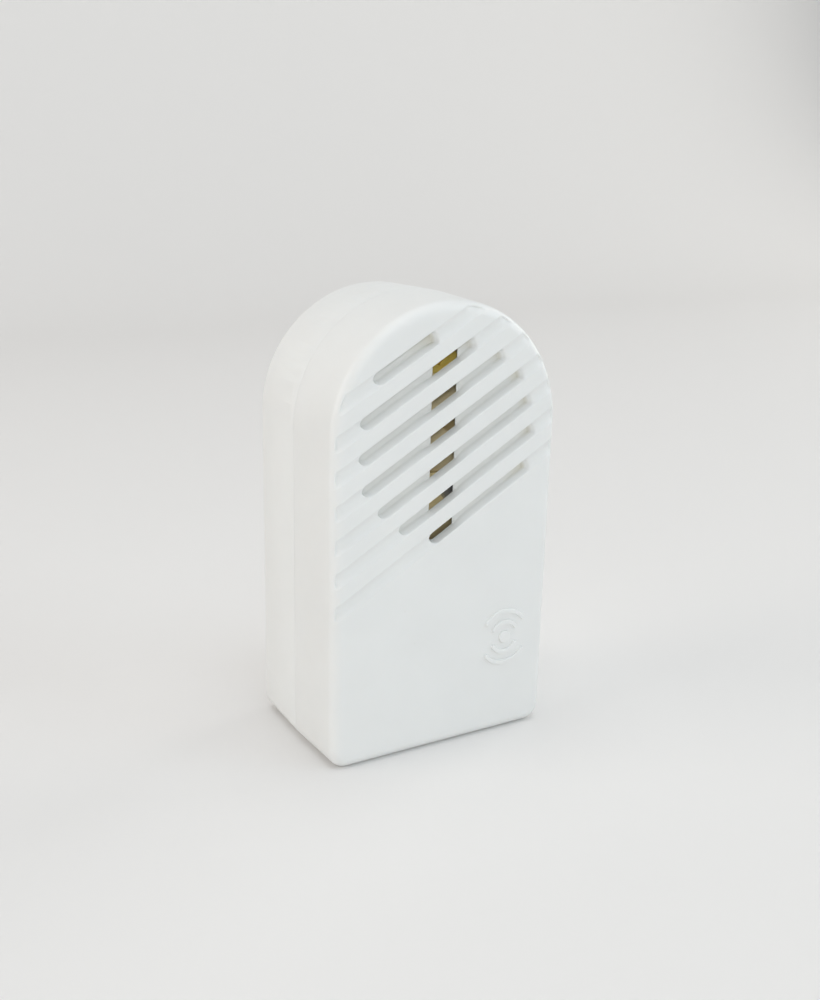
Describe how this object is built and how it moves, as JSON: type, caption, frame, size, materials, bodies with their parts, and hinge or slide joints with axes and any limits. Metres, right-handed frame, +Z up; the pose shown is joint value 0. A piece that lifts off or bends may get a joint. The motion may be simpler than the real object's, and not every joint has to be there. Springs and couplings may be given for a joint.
{
  "type": "electric door buzzer",
  "caption": "Arch-topped white wall buzzer with a slanting fluted grille, a two-shell case and a vibrating reed driven by a mains coil.",
  "frame": {"origin": "middle of the bottom of the case, which stands on its bottom edge, midway between the raised emblem on the front and the flat back", "axes": "+Z up along the case's length, -Y out of the fluted front, +X to the right seen from the front"},
  "size_m": [0.0446, 0.0288, 0.08],
  "materials": {
    "white_shell": "moulded, slightly glossy white",
    "grey_rubber": "matt grey rubber",
    "yellow_zinc": "zinc plated and yellow passivated sheet",
    "zinc_screw": "bright zinc plate",
    "core_iron": "oxidised silicon iron sheet",
    "bobbin_nylon": "natural nylon",
    "copper_wire": "enamelled copper wire",
    "yellow_tape": "polyester tape",
    "tinned_brass": "tinned pins",
    "lead_insulation": "plastic insulation",
    "block_nylon": "natural nylon",
    "clamp_brass": "turned brass",
    "reed_bronze": "dull rolled spring bronze",
    "armature_iron": "zinc plated soft iron",
    "rivet_brass": "brass rivets"
  },
  "bodies": {
    "case": {"rear_case": "white_shell", "cable_grommet": "grey_rubber", "frame_bracket": "yellow_zinc", "frame_screws": "zinc_screw", "core_laminations": "core_iron", "core_rivets": "zinc_screw", "coil_bobbin": "bobbin_nylon", "coil_winding": "copper_wire", "coil_tape": "yellow_tape", "bobbin_pins": "tinned_brass", "coil_leads": "lead_insulation", "terminal_block": "block_nylon", "terminal_clamps": "clamp_brass", "terminal_block_screw": "zinc_screw", "reed_clamp_plate": "yellow_zinc", "reed_clamp_screws": "zinc_screw", "adjusting_lock_nut": "clamp_brass", "cover_screw": "zinc_screw", "cover_nut": "zinc_screw"},
    "cover": {"front_cover": "white_shell"},
    "armature": {"reed": "reed_bronze", "armature_plate": "armature_iron", "armature_rivets": "rivet_brass"},
    "tone_screw": {"adjusting_screw": "clamp_brass"},
    "left_clamp_screw": {"terminal_screw_left": "zinc_screw"},
    "right_clamp_screw": {"terminal_screw_right": "zinc_screw"}
  },
  "joints": [
    {"name": "cover_pull", "type": "slide", "parent": "case", "child": "cover", "axis": [0, -1, 0], "range_m": [0, 0.03]},
    {"name": "reed_flex", "type": "hinge", "parent": "case", "child": "armature", "pos_m": [0, -0.0072, 0.046], "axis": [-1, 0, 0], "range_deg": [0, 1.2], "stiffness_Nm_per_rad": 0.05, "springref_deg": -0.57},
    {"name": "tone_turn", "type": "hinge", "parent": "case", "child": "tone_screw", "pos_m": [0, -0.009, 0.07], "axis": [0, -1, 0], "range_deg": [-180, 180]},
    {"name": "left_clamp_turn", "type": "hinge", "parent": "case", "child": "left_clamp_screw", "pos_m": [-0.0052, 0.004, 0.018], "axis": [0, -1, 0], "range_deg": [0, 540]},
    {"name": "right_clamp_turn", "type": "hinge", "parent": "case", "child": "right_clamp_screw", "pos_m": [0.0052, 0.004, 0.018], "axis": [0, -1, 0], "range_deg": [0, 540]}
  ]
}
